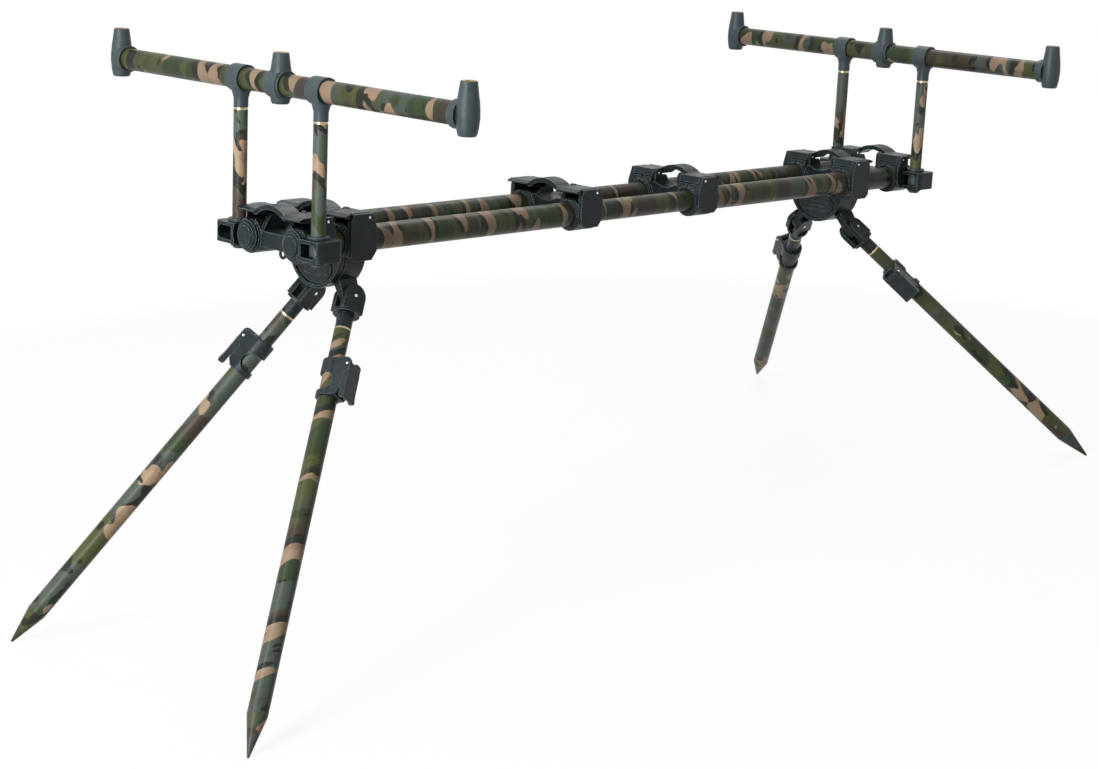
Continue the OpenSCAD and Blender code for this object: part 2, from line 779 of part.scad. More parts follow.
leg_spike(FRONT, RIGHT);  // front_right_leg_spike
leg_knuckle(REAR, LEFT);  // rear_left_leg_knuckle
leg_upper_tube(REAR, LEFT);  // rear_left_leg_upper_tube
leg_collar(REAR, LEFT);  // rear_left_leg_collar
leg_lever(REAR, LEFT);  // rear_left_leg_lever
leg_lower_tube(REAR, LEFT);  // rear_left_leg_lower_tube
leg_spike(REAR, LEFT);  // rear_left_leg_spike
leg_knuckle(REAR, RIGHT);  // rear_right_leg_knuckle
leg_upper_tube(REAR, RIGHT);  // rear_right_leg_upper_tube
leg_collar(REAR, RIGHT);  // rear_right_leg_collar
leg_lever(REAR, RIGHT);  // rear_right_leg_lever
leg_lower_tube(REAR, RIGHT);  // rear_right_leg_lower_tube
leg_spike(REAR, RIGHT);  // rear_right_leg_spike
bar(FRONT);  // front_bar
bar_posts(FRONT);  // front_bar_posts
bar_tees(FRONT);  // front_bar_tees
bar_uprights(FRONT);  // front_bar_uprights
bar_feet(FRONT);  // front_bar_feet
bar_inserts(FRONT);  // front_bar_inserts
bar(REAR);  // rear_bar
bar_posts(REAR);  // rear_bar_posts
bar_tees(REAR);  // rear_bar_tees
bar_uprights(REAR);  // rear_bar_uprights
bar_feet(REAR);  // rear_bar_feet
bar_inserts(REAR);  // rear_bar_inserts
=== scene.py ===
"""Looks of a camouflage rod pod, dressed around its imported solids.

Units are metres. X runs from the front bar to the rear bar, left is -Y and Z is up.
The camouflage tubes are new lathe surfaces that carry their own paint coordinates, the
mouldings are merged copies of the solids whose edges are rounded in the shading.
"""

import json
import logging
import math
from dataclasses import dataclass, replace
from enum import Enum
from typing import Sequence, Union

import bpy
import numpy as np
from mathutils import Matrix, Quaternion, Vector


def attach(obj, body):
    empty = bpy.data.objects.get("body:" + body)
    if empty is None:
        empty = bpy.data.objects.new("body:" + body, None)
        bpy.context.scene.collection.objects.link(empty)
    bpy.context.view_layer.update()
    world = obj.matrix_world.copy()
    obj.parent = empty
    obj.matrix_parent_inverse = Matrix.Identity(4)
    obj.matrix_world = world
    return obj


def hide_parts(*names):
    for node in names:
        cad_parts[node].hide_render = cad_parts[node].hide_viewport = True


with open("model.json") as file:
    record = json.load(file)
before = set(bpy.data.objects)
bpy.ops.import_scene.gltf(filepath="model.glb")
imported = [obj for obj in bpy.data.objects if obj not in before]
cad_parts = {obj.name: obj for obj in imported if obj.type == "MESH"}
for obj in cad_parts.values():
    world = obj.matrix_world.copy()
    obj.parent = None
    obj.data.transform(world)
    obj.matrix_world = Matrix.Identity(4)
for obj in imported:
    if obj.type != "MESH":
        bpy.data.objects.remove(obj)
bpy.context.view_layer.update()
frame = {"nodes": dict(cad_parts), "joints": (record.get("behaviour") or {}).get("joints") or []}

LOG = logging.getLogger("rod_pod")
MM = 0.001
# Length in which bare metal turns to paint.
SEAM = 0.02 * MM
# Radius below which a row of a lathe is a pole, and rise above which an axis counts as steep.
POLE = 1e-9
STEEP = 0.9
# Rows of a tube's rounded lip and of its straight outside.
LIP_ROWS = 4
TUBE_ROWS = 24

Feed = Union[bpy.types.NodeSocket, float, Sequence[float]]
Colour = tuple[float, float, float, float]


class End(Enum):
    """The two ends of the pod."""

    FRONT = "front"
    REAR = "rear"


class Side(Enum):
    """The two sides of the pod."""

    LEFT = "left"
    RIGHT = "right"


class Slot(Enum):
    """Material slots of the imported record."""

    TUBE = "camo_tube"
    MOULDING = "moulded_black"
    PIN = "pin_steel"
    INSERT = "insert_brass"


class Socket(Enum):
    """Socket types of the shared effects."""

    FLOAT = "NodeSocketFloat"
    VECTOR = "NodeSocketVector"


def srgb(red: int, green: int, blue: int) -> Colour:
    """Turns a colour written in 0 to 255 steps into linear light, by the sRGB curve.

    Args:
        red: Red step.
        green: Green step.
        blue: Blue step.

    Returns:
        The linear colour with full alpha.
    """
    steps = np.array([red, green, blue]) / 255.0
    linear = np.where(steps <= 0.04045, steps / 12.92, ((steps + 0.055) / 1.055) ** 2.4)
    return (float(linear[0]), float(linear[1]), float(linear[2]), 1.0)


class Graph:
    """Adds and joins the nodes of one shader tree."""

    def __init__(self, tree: bpy.types.NodeTree) -> None:
        """Keeps the tree that the nodes go into."""
        self.tree = tree

    def add(self, kind: str, **settings: object) -> bpy.types.Node:
        """Adds one node.

        Args:
            kind: The node's type name.
            **settings: Properties of the node to set.

        Returns:
            The new node.
        """
        node = self.tree.nodes.new(kind)
        for name, value in settings.items():
            setattr(node, name, value)
        return node

    def feed(self, socket: bpy.types.NodeSocket, value: Feed) -> None:
        """Links a socket to another one, or sets it to a plain value.

        Args:
            socket: The input to fill.
            value: Another node's output, or a plain value.
        """
        if isinstance(value, bpy.types.NodeSocket):
            self.tree.links.new(value, socket)
        else:
            socket.default_value = value

    def math(
        self, operation: str, first: Feed, second: Feed = 0.0, third: Feed = 0.0
    ) -> bpy.types.NodeSocket:
        """One Math node.

        Args:
            operation: What the node works out.
            first: First value.
            second: Second value.
            third: Third value, which a multiply-add adds.

        Returns:
            The result's socket.
        """
        node = self.add("ShaderNodeMath", operation=operation)
        for socket, value in zip(node.inputs, (first, second, third)):
            self.feed(socket, value)
        return node.outputs[0]

    def vector(self, operation: str, first: Feed, second: Feed) -> bpy.types.Node:
        """One Vector Math node with two inputs.

        Args:
            operation: What the node works out.
            first: First vector.
            second: Second vector.

        Returns:
            The node.
        """
        node = self.add("ShaderNodeVectorMath", operation=operation)
        self.feed(node.inputs[0], first)
        self.feed(node.inputs[1], second)
        return node

    def scaled(self, vector: Feed, factor: Feed) -> bpy.types.NodeSocket:
        """A vector or a colour times a factor.

        Args:
            vector: What is scaled.
            factor: How much it grows.

        Returns:
            The result's socket.
        """
        node = self.add("ShaderNodeVectorMath", operation="SCALE")
        self.feed(node.inputs["Vector"], vector)
        self.feed(node.inputs["Scale"], factor)
        return node.outputs["Vector"]

    def noise(self, place: Feed, scale: Feed, detail: float, rough: float = 0.5) -> bpy.types.Node:
        """One Noise Texture.

        Args:
            place: Coordinates that the noise reads.
            scale: Cells per metre.
            detail: Octaves of finer noise.
            rough: Share of the finer octaves.

        Returns:
            The texture node.
        """
        node = self.add("ShaderNodeTexNoise")
        self.feed(node.inputs["Vector"], place)
        self.feed(node.inputs["Scale"], scale)
        node.inputs["Detail"].default_value = detail
        node.inputs["Roughness"].default_value = rough
        return node

    def ramp(self, value: Feed, low: Feed, high: Feed) -> bpy.types.NodeSocket:
        """An eased rise from 0 to 1 between two levels of a value.

        Args:
            value: What is mapped.
            low: Level that gives 0.
            high: Level that gives 1.

        Returns:
            The mapped value's socket.
        """
        node = self.add("ShaderNodeMapRange", interpolation_type="SMOOTHSTEP")
        self.feed(node.inputs["Value"], value)
        self.feed(node.inputs["From Min"], low)
        self.feed(node.inputs["From Max"], high)
        return node.outputs["Result"]

    def span(self, value: Feed, low: float, high: float) -> bpy.types.NodeSocket:
        """A value from 0 to 1 spread between two levels.

        Args:
            value: What is mapped.
            low: Result where the value is 0.
            high: Result where the value is 1.

        Returns:
            The mapped value's socket.
        """
        node = self.add("ShaderNodeMapRange")
        self.feed(node.inputs["Value"], value)
        node.inputs["To Min"].default_value = low
        node.inputs["To Max"].default_value = high
        return node.outputs["Result"]

    def mix(self, share: Feed, first: Feed, second: Feed) -> bpy.types.NodeSocket:
        """Blends two colours.

        Args:
            share: How much of the second colour shows.
            first: Colour where the share is 0.
            second: Colour where the share is 1.

        Returns:
            The blended colour's socket.
        """
        node = self.add("ShaderNodeMix", data_type="RGBA")
        # The colour sockets of a Mix node have these numbers.
        for number, value in ((0, share), (6, first), (7, second)):
            self.feed(node.inputs[number], value)
        return node.outputs[2]

    def bump(
        self, height: Feed, strength: float, depth: float, normal: Union[Feed, None] = None
    ) -> bpy.types.NodeSocket:
        """One Bump node.

        Args:
            height: Height of the surface from 0 to 1.
            strength: Share of the bump that shows.
            depth: Depth of a full height in metres.
            normal: Normal that the bump starts from, where it is not the mesh's own.

        Returns:
            The bumped normal's socket.
        """
        node = self.add("ShaderNodeBump")
        node.inputs["Strength"].default_value = strength
        node.inputs["Distance"].default_value = depth
        self.feed(node.inputs["Height"], height)
        if normal is not None:
            self.feed(node.inputs["Normal"], normal)
        return node.outputs["Normal"]

    def blend(self, share: Feed, first: bpy.types.Node, second: bpy.types.Node) -> bpy.types.Node:
        """Blends two shaders.

        Args:
            share: How much of the second shader shows.
            first: Shader where the share is 0.
            second: Shader where the share is 1.

        Returns:
            The blending node.
        """
        node = self.add("ShaderNodeMixShader")
        for socket, value in zip(node.inputs, (share, first.outputs[0], second.outputs[0])):
            self.feed(socket, value)
        return node

    def effect(self, group: bpy.types.NodeTree, **values: Feed) -> bpy.types.Node:
        """Places a shared effect in this tree.

        Args:
            group: The effect's node group.
            **values: Inputs by name, with spaces as underscores.

        Returns:
            The group node.
        """
        node = self.add("ShaderNodeGroup", node_tree=group)
        for name, value in values.items():
            self.feed(node.inputs[name.replace("_", " ")], value)
        return node


class Effects:
    """Shared effects, each a node group that is built once."""

    # Mean of a noise, cells of the slow mottle for each cell of the grain, and how far the fray
    # moves an outline.
    mean = 0.5
    mottle_scale = 0.04
    fray_share = 0.03

    def __init__(self) -> None:
        """Builds every group."""
        self.grain = self._grain()
        self.edges = self._edges()
        self.patch = self._patch()
        self.scuffs = self._scuffs()
        self.crevices = self._crevices()

    @staticmethod
    def _group(
        name: str, inputs: dict[str, tuple[Socket, Union[float, None]]], outputs: dict[str, Socket]
    ) -> tuple[Graph, bpy.types.Node, bpy.types.Node]:
        """Starts a node group with named sockets.

        Args:
            name: The group's name.
            inputs: Socket type and default of each input.
            outputs: Socket type of each output.

        Returns:
            The group's graph, its input node and its output node.
        """
        tree = bpy.data.node_groups.new(name, "ShaderNodeTree")
        for label, (kind, default) in inputs.items():
            socket = tree.interface.new_socket(label, in_out="INPUT", socket_type=kind.value)
            if default is not None:
                socket.default_value = default
        for label, kind in outputs.items():
            tree.interface.new_socket(label, in_out="OUTPUT", socket_type=kind.value)
        graph = Graph(tree)
        return graph, graph.add("NodeGroupInput"), graph.add("NodeGroupOutput")

    def _grain(self) -> bpy.types.NodeTree:
        """Fine grain of a moulded or sprayed skin: a height, and a slow mottle from 0 to 1.

        Returns:
            The node group.
        """
        graph, given, made = self._group(
            "surface_grain",
            {"Vector": (Socket.VECTOR, None), "Scale": (Socket.FLOAT, 2200.0)},
            {"Height": Socket.FLOAT, "Mottle": Socket.FLOAT},
        )
        place, scale = given.outputs["Vector"], given.outputs["Scale"]
        fine = graph.noise(place, scale, detail=2.0, rough=0.6)
        slow_scale = graph.math("MULTIPLY", scale, self.mottle_scale)
        slow = graph.noise(place, slow_scale, detail=3.0)
        graph.feed(made.inputs["Height"], fine.outputs["Fac"])
        graph.feed(made.inputs["Mottle"], graph.ramp(slow.outputs["Fac"], low=0.3, high=0.7))
        return graph.tree

    def _edges(self) -> bpy.types.NodeTree:
        """Edges for wear and a painted highlight: 1 where the surface turns within a small radius,
        and a rounded normal.

        Returns:
            The node group.
        """
        graph, given, made = self._group(
            "edge_wear_highlight_and_rounding",
            {"Radius": (Socket.FLOAT, 0.8 * MM), "Vector": (Socket.VECTOR, None)},
            {"Mask": Socket.FLOAT, "Normal": Socket.VECTOR},
        )
        rounded = graph.add("ShaderNodeBevel", samples=4)
        graph.feed(rounded.inputs["Radius"], given.outputs["Radius"])
        plain = graph.add("ShaderNodeNewGeometry")
        alike = graph.vector("DOT_PRODUCT", rounded.outputs["Normal"], plain.outputs["Normal"])
        turn = graph.math("SUBTRACT", 1.0, alike.outputs["Value"])
        broken = graph.noise(given.outputs["Vector"], scale=260.0, detail=3.0)
        worn_and_lit_edge = graph.span(broken.outputs["Fac"], low=0.35, high=1.0)
        turned = graph.ramp(turn, low=0.005, high=0.1)
        graph.feed(made.inputs["Mask"], graph.math("MULTIPLY", turned, worn_and_lit_edge))
        graph.feed(made.inputs["Normal"], rounded.outputs["Normal"])
        return graph.tree

    def _crevices(self) -> bpy.types.NodeTree:
        """Open share of a spot, by which the mouldings are darkened as painted shade: 0 deep in a
        corner or a gap, 1 on faces and outer edges.

        Returns:
            The node group.
        """
        graph, given, made = self._group(
            "open_share", {"Distance": (Socket.FLOAT, 3.0 * MM)}, {"Open": Socket.FLOAT}
        )
        shelter = graph.add("ShaderNodeAmbientOcclusion", samples=6)
        graph.feed(shelter.inputs["Distance"], given.outputs["Distance"])
        graph.feed(made.inputs["Open"], graph.ramp(shelter.outputs["AO"], low=0.35, high=0.92))
        return graph.tree

    def _patch(self) -> bpy.types.NodeTree:
        """One colour layer of the camouflage: flowing patches of warped noise.

        The place is pushed about by a slower noise, then a noise of that place is cut at a level,
        and a second, finer noise frays the outline.

        Returns:
            The node group.
        """
        graph, given, made = self._group(
            "camo_patch",
            {
                "Vector": (Socket.VECTOR, None),
                "Shift": (Socket.VECTOR, None),
                "Scale": (Socket.FLOAT, 20.0),
                "Level": (Socket.FLOAT, 0.55),
                "Warp": (Socket.FLOAT, 0.02),
                "Soft": (Socket.FLOAT, 0.006),
            },
            {"Mask": Socket.FLOAT},
        )
        moved = graph.vector("ADD", given.outputs["Vector"], given.outputs["Shift"]).outputs[0]
        push = graph.noise(moved, scale=24.0, detail=2.0)
        centred = graph.vector("SUBTRACT", push.outputs["Color"], (self.mean,) * 3).outputs[0]
        pushed = graph.scaled(centred, given.outputs["Warp"])
        place = graph.vector("ADD", moved, pushed).outputs[0]
        body = graph.noise(place, given.outputs["Scale"], detail=1.5, rough=0.45)
        fray = graph.noise(place, scale=300.0, detail=1.0)
        frayed = graph.math(
            "MULTIPLY_ADD", fray.outputs["Fac"], self.fray_share, body.outputs["Fac"]
        )
        low = graph.math("SUBTRACT", given.outputs["Level"], given.outputs["Soft"])
        high = graph.math("ADD", given.outputs["Level"], given.outputs["Soft"])
        graph.feed(made.inputs["Mask"], graph.ramp(frayed, low, high))
        return graph.tree

    def _scuffs(self) -> bpy.types.NodeTree:
        """Thin handling marks: narrow bands of a stretched noise, broken up by a slow one.

        Returns:
            The node group.
        """
        graph, given, made = self._group(
            "handling_scuffs",
            {"Vector": (Socket.VECTOR, None), "Amount": (Socket.FLOAT, 0.5)},
            {"Mask": Socket.FLOAT},
        )
        stretch = graph.add("ShaderNodeMapping")
        graph.feed(stretch.inputs["Vector"], given.outputs["Vector"])
        stretch.inputs["Scale"].default_value = (60.0, 900.0, 900.0)
        stretch.inputs["Rotation"].default_value = (0.3, 0.5, 0.2)
        lines = graph.noise(stretch.outputs["Vector"], scale=1.0, detail=2.0)
        centred = graph.math("ABSOLUTE", graph.math("SUBTRACT", lines.outputs["Fac"], self.mean))
        thin = graph.ramp(centred, low=0.022, high=0.0)
        zones = graph.noise(given.outputs["Vector"], scale=45.0, detail=2.0)
        broken = graph.ramp(zones.outputs["Fac"], low=0.5, high=0.68)
        shown = graph.math("MULTIPLY", thin, broken)
        graph.feed(made.inputs["Mask"], graph.math("MULTIPLY", shown, given.outputs["Amount"]))
        return graph.tree


def new_material(name: str) -> tuple[bpy.types.Material, Graph, bpy.types.Node]:
    """Starts a node material.

    Args:
        name: The material's name.

    Returns:
        The material, its graph and its Principled shader.
    """
    material = bpy.data.materials.new(name)
    material.use_nodes = True
    graph = Graph(material.node_tree)
    return material, graph, material.node_tree.nodes["Principled BSDF"]


@dataclass(frozen=True)
class CamoLayer:
    """One colour of the camouflage and the patches that it fills.

    The patches have a shift of their noise, its cells per metre, the level at which it is cut,
    the reach of the warp in metres and the softness of the outline.
    """

    tint: Colour
    shift: tuple[float, float, float]
    scale: float
    level: Feed
    warp: float
    soft: float


@dataclass(frozen=True)
class CamoPaint:
    """Satin woodland camouflage film on aluminium tube, with bare machined rings, and painted light
    that brightens the thin tubes.
    """

    olive: Colour = srgb(66, 71, 40)
    moss: Colour = srgb(46, 57, 35)
    slate: Colour = srgb(66, 74, 66)
    earth: Colour = srgb(59, 49, 42)
    tan: Colour = srgb(140, 119, 97)
    bark: Colour = srgb(30, 31, 24)
    metal: Colour = srgb(184, 170, 136)
    slate_level: float = 0.55
    moss_level: float = 0.56
    moss_loss: float = 0.6
    grain_scale: float = 1400.0
    fade: float = 0.12
    smoke: float = 0.38
    scuff: float = 0.35
    # Brightening of a piece by its grey share, as painted light.
    painted_light_gain: float = 3.6
    satin: tuple[float, float] = (0.33, 0.4)
    gloss: float = 0.17
    peel_strength: float = 0.03
    peel_depth: float = 0.1 * MM

    def layers(self, graph: Graph, grey_and_light: bpy.types.NodeSocket) -> tuple[CamoLayer, ...]:
        """The colours over the olive ground. More grey widens the slate and thins the moss.

        Args:
            graph: The material's graph.
            grey_and_light: Share of grey at each point.

        Returns:
            The layers, lowest first.
        """
        slate_level = graph.math("SUBTRACT", self.slate_level, grey_and_light)
        moss_loss = graph.math("MULTIPLY", grey_and_light, self.moss_loss)
        moss_level = graph.math("ADD", self.moss_level, moss_loss)
        return (
            CamoLayer(self.slate, (4.1, 2.2, 0.9), 26.0, slate_level, 0.02, 0.03),
            CamoLayer(self.moss, (1.3, 0.2, 0.7), 36.0, moss_level, 0.02, 0.012),
            CamoLayer(self.earth, (6.6, 5.4, 3.1), 32.0, 0.59, 0.02, 0.03),
            CamoLayer(self.bark, (2.7055, 7.302, 5.9), 54.0, 0.622, 0.016, 0.012),
            CamoLayer(self.tan, (2.7, 7.3, 5.9), 54.0, 0.61, 0.016, 0.006),
            CamoLayer(self.bark, (8.8, 1.7, 4.4), 95.0, 0.655, 0.016, 0.008),
        )

    def material(self, effects: Effects) -> bpy.types.Material:
        """Builds the paint on the piece's own paint coordinates.

        Args:
            effects: Shared node groups.

        Returns:
            The material.
        """
        material, graph, skin = new_material("camo_paint")
        place = graph.add("ShaderNodeAttribute", attribute_name="paint").outputs["Vector"]
        bare = graph.add("ShaderNodeAttribute", attribute_name="bare").outputs["Fac"]
        grey_and_light = graph.add("ShaderNodeAttribute", attribute_name="grey_and_light").outputs["Fac"]
        colour: Feed = self.olive
        for layer in self.layers(graph, grey_and_light):
            patch = graph.effect(
                effects.patch,
                Vector=place,
                Shift=layer.shift,
                Scale=layer.scale,
                Level=layer.level,
                Warp=layer.warp,
                Soft=layer.soft,
            )
            colour = graph.mix(patch.outputs["Mask"], colour, layer.tint)
        grain = graph.effect(effects.grain, Vector=place, Scale=self.grain_scale)
        mottle = grain.outputs["Mottle"]
        faded = graph.mix(graph.span(mottle, 0.0, self.fade), colour, self.slate)
        cloud = graph.noise(place, scale=75.0, detail=4.0, rough=0.6)
        drift = graph.ramp(cloud.outputs["Fac"], low=0.48, high=0.72)
        smoked = graph.mix(graph.math("MULTIPLY", drift, self.smoke), faded, self.bark)
        scuff = graph.effect(effects.scuffs, Vector=place, Amount=self.scuff)
        rubbed = graph.mix(scuff.outputs["Mask"], smoked, self.slate)
        # Painted light: a piece with a grey share above 0 has its colour brightened, about one and
        # a half times on the uprights, in place of the stronger light on the thin tubes.
        painted_light_share = graph.math("MAXIMUM", grey_and_light, 0.0)
        painted_light_colour = graph.scaled(rubbed, graph.math("MULTIPLY_ADD", painted_light_share, self.painted_light_gain, 1.0))
        graph.feed(skin.inputs["Base Color"], graph.mix(bare, painted_light_colour, self.metal))
        graph.feed(skin.inputs["Roughness"], graph.span(mottle, *self.satin))
        graph.feed(skin.inputs["Metallic"], bare)
        skin.inputs["Specular IOR Level"].default_value = self.gloss
        peel = graph.bump(grain.outputs["Height"], self.peel_strength, self.peel_depth)
        graph.feed(skin.inputs["Normal"], peel)
        return material


@dataclass(frozen=True)
class MouldedPlastic:
    """Glass-filled slate moulding with a fine satin grain, paler edges that are part wear and part
    painted highlight, and painted shade in its corners and gaps.
    """

    name: str = "moulded_slate"
    ground: Colour = srgb(50, 61, 64)
    fleck: Colour = srgb(69, 81, 84)
    # Pale colour of the scuffs and of the edges, whose paleness is part wear and part painted
    # highlight.
    wear_and_highlight: Colour = srgb(132, 144, 147)
    # Dark colour painted into corners and gaps as shade.
    painted_shade: Colour = srgb(28, 32, 34)
    edge_share: float = 0.5
    edge_round: float = 1.0 * MM
    gloss: float = 0.36
    rough: float = 0.4
    rough_rise: float = 0.12
    edge_polish: float = 0.15
    grain_scale: float = 2600.0
    speckle: float = 0.5
    mottle: float = 0.35
    scuff: float = 0.2
    shelter: float = 5.0 * MM
    grain_strength: float = 0.35
    grain_depth: float = 0.12 * MM

    def material(self, effects: Effects) -> bpy.types.Material:
        """Builds the moulding on Object coordinates.

        Args:
            effects: Shared node groups.

        Returns:
            The material.
        """
        material, graph, skin = new_material(self.name)
        place = graph.add("ShaderNodeTexCoord").outputs["Object"]
        grain = graph.effect(effects.grain, Vector=place, Scale=self.grain_scale)
        height, mottle = grain.outputs["Height"], grain.outputs["Mottle"]
        specks = graph.math("MULTIPLY", graph.ramp(height, low=0.56, high=0.72), self.speckle)
        clouds = graph.math("MULTIPLY", mottle, self.mottle)
        body = graph.mix(graph.math("MAXIMUM", specks, clouds), self.ground, self.fleck)
        scuff = graph.effect(effects.scuffs, Vector=place, Amount=self.scuff)
        marked = graph.mix(scuff.outputs["Mask"], body, self.wear_and_highlight)
        # Painted shade: corners and gaps darken towards the dark shade colour, by ambient
        # occlusion.
        clear = graph.effect(effects.crevices, Distance=self.shelter).outputs["Open"]
        shaded = graph.mix(clear, self.painted_shade, marked)
        # Paler edges, part handling wear and part painted highlight: open turns of the surface move
        # towards the pale edge colour.
        edges = graph.effect(effects.edges, Vector=place, Radius=self.edge_round)
        outer = graph.math("MULTIPLY", edges.outputs["Mask"], clear)
        worn_and_lit_edge = graph.math("MULTIPLY", outer, self.edge_share)
        graph.feed(skin.inputs["Base Color"], graph.mix(worn_and_lit_edge, shaded, self.wear_and_highlight))
        rough = graph.span(mottle, self.rough, self.rough + self.rough_rise)
        polish = graph.math("MULTIPLY", worn_and_lit_edge, self.edge_polish)
        graph.feed(skin.inputs["Roughness"], graph.math("SUBTRACT", rough, polish))
        skin.inputs["Specular IOR Level"].default_value = self.gloss
        skin_normal = graph.bump(
            height, self.grain_strength, self.grain_depth, edges.outputs["Normal"]
        )
        graph.feed(skin.inputs["Normal"], skin_normal)
        return material


@dataclass(frozen=True)
class TurnedMetal:
    """Turned or ground metal with fine tool marks."""

    name: str
    bright: Colour
    dull: Colour
    rough: float
    rough_rise: float = 0.14
    edge_round: float = 0.3 * MM
    grain_scale: float = 3200.0
    scuff: float = 0.6
    mark_strength: float = 0.1
    mark_depth: float = 0.05 * MM

    def material(self, effects: Effects) -> bpy.types.Material:
        """Builds the metal on Object coordinates.

        Args:
            effects: Shared node groups.

        Returns:
            The material.
        """
        material, graph, skin = new_material(self.name)
        place = graph.add("ShaderNodeTexCoord").outputs["Object"]
        grain = graph.effect(effects.grain, Vector=place, Scale=self.grain_scale)
        scuff = graph.effect(effects.scuffs, Vector=place, Amount=self.scuff)
        tone = graph.math("MAXIMUM", grain.outputs["Mottle"], scuff.outputs["Mask"])
        graph.feed(skin.inputs["Base Color"], graph.mix(tone, self.bright, self.dull))
        rough = graph.span(tone, self.rough, self.rough + self.rough_rise)
        graph.feed(skin.inputs["Roughness"], rough)
        skin.inputs["Metallic"].default_value = 1.0
        edges = graph.effect(effects.edges, Vector=place, Radius=self.edge_round)
        marks = graph.bump(
            grain.outputs["Height"], self.mark_strength, self.mark_depth, edges.outputs["Normal"]
        )
        graph.feed(skin.inputs["Normal"], marks)
        return material


class Finishes:
    """Every finish of the pod, built once."""

    def __init__(self) -> None:
        """Builds the shared effects and the materials."""
        effects = Effects()
        self.paint = CamoPaint().material(effects)
        self.slate = MouldedPlastic().material(effects)
        self.charcoal = MouldedPlastic(
            name="moulded_charcoal",
            ground=srgb(28, 36, 39),
            fleck=srgb(41, 51, 55),
            wear_and_highlight=srgb(138, 152, 158),
            painted_shade=srgb(12, 15, 17),
            edge_share=0.75,
            edge_round=0.8 * MM,
            gloss=0.24,
            rough=0.36,
        ).material(effects)
        self.black = MouldedPlastic(
            name="moulded_black",
            ground=srgb(19, 27, 29),
            fleck=srgb(31, 42, 45),
            wear_and_highlight=srgb(148, 164, 170),
            painted_shade=srgb(6, 8, 9),
            edge_share=0.95,
            edge_round=0.8 * MM,
            gloss=0.2,
            rough=0.32,
        ).material(effects)
        self.steel = TurnedMetal(
            "ground_steel", srgb(232, 234, 236), srgb(196, 198, 200), rough=0.2
        ).material(effects)
        self.brass = TurnedMetal(
            "turned_brass", srgb(214, 182, 110), srgb(172, 138, 76), rough=0.26
        ).material(effects)


@dataclass(frozen=True)
class Axis:
    """A straight axis: its first end, direction and length, and the largest radius about it."""

    start: np.ndarray
    along: np.ndarray
    length: float
    radius: float

    def frame(self) -> tuple[np.ndarray, np.ndarray]:
        """Two directions across the axis that make a right-handed set with it.

        Returns:
            The side direction and the upper direction.
        """
        steep = abs(self.along[2]) >= STEEP
        guide = np.array([1.0, 0.0, 0.0] if steep else [0.0, 0.0, 1.0])
        upper = guide - self.along * (guide @ self.along)
        upper /= np.linalg.norm(upper)
        return np.cross(upper, self.along), upper


def node_points(node: str) -> np.ndarray:
    """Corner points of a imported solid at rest.

    Args:
        node: The node's name.

    Returns:
        An array of points, one row each.
    """
    mesh = frame["nodes"][node].data
    flat = np.empty(len(mesh.vertices) * 3, np.float32)
    mesh.vertices.foreach_get("co", flat)
    return flat.reshape(-1, 3).astype(float)


def measured_axis(points: np.ndarray, toward: Sequence[float]) -> Axis:
    """Finds the axis of a round solid from its corner points.

    The axis is the direction of greatest spread, through the middle of the points' box. Its length
    is the spread of the points along it, and its radius their greatest distance from it.

    Args:
        points: Corner points of the solid.
        toward: A direction that the axis runs with.

    Returns:
        The axis, from its first end.
    """
    middle = (points.min(0) + points.max(0)) / 2
    along = np.linalg.svd(points - points.mean(0), full_matrices=False)[2][0]
    along = along * np.sign(along @ np.asarray(toward, float))
    spread = (points - middle) @ along
    across = (points - middle) - np.outer(spread, along)
    radius = float(np.linalg.norm(across, axis=1).max())
    start = middle + along * spread.min()
    return Axis(start, along, float(np.ptp(spread)), radius)


@dataclass(frozen=True)
class PaintMap:
    """How the camouflage lies on a piece: its stretch, start, share of grey with painted light, and
    slant.
    """

    along: float = 1.0
    across: float = 1.0
    seed: float = 0.0
    grey_and_light: float = 0.0
    slant: float = 0.0


@dataclass(frozen=True)
class Surface:
    """Points and faces of a surface, with paint coordinates, bare metal and the share of grey with
    painted light at each point.
    """

    points: np.ndarray
    quads: np.ndarray
    fans: np.ndarray
    paint: np.ndarray
    bare: np.ndarray
    grey_and_light: np.ndarray


